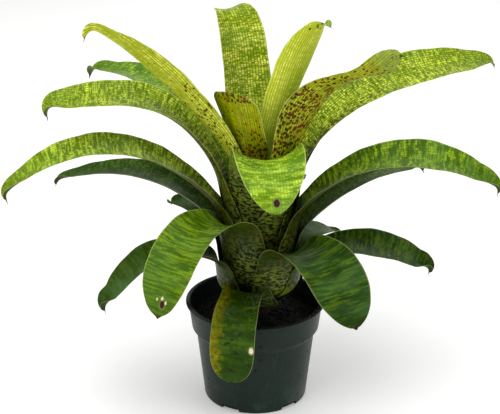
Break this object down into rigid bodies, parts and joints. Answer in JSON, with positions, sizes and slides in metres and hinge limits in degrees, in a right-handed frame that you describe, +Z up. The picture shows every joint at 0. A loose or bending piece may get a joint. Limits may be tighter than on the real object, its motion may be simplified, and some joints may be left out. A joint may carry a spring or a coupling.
{
  "type": "potted bromeliad",
  "caption": "Potted bromeliad: a funnel-shaped rosette of broad arching, checkered and spotted leaves round a water-holding cup, in a round tapered nursery pot.",
  "frame": {"origin": "centre of the pot's flat foot, on the surface it stands on", "axes": "+Z up out of the pot; +X to the right and -Y to the front, where the lowest leaf hangs over the rim"},
  "size_m": [0.5252, 0.341, 0.4352],
  "materials": {
    "pot": "satin",
    "potting_mix": "matte",
    "stem": "matte",
    "young_leaf": "satin",
    "old_leaf": "satin"
  },
  "bodies": {
    "root": {"pot": "pot", "potting_mix": "potting_mix", "stem": "stem", "heart": "young_leaf", "upper_right": "young_leaf", "upper_left": "young_leaf", "top": "young_leaf", "right_spotted": "young_leaf", "front_top": "young_leaf", "right_high": "young_leaf", "left_high": "young_leaf", "left_back": "young_leaf", "right_back": "young_leaf", "back_mid": "old_leaf", "left_mid": "old_leaf", "right_mid": "old_leaf", "front_left": "old_leaf", "left_under": "old_leaf", "right_under": "old_leaf", "back_right": "old_leaf", "back_left": "old_leaf", "front_right": "old_leaf", "right_low": "old_leaf", "left_low": "old_leaf", "back_low": "old_leaf", "back_low_right": "old_leaf", "front_low": "old_leaf"}
  },
  "joints": []
}
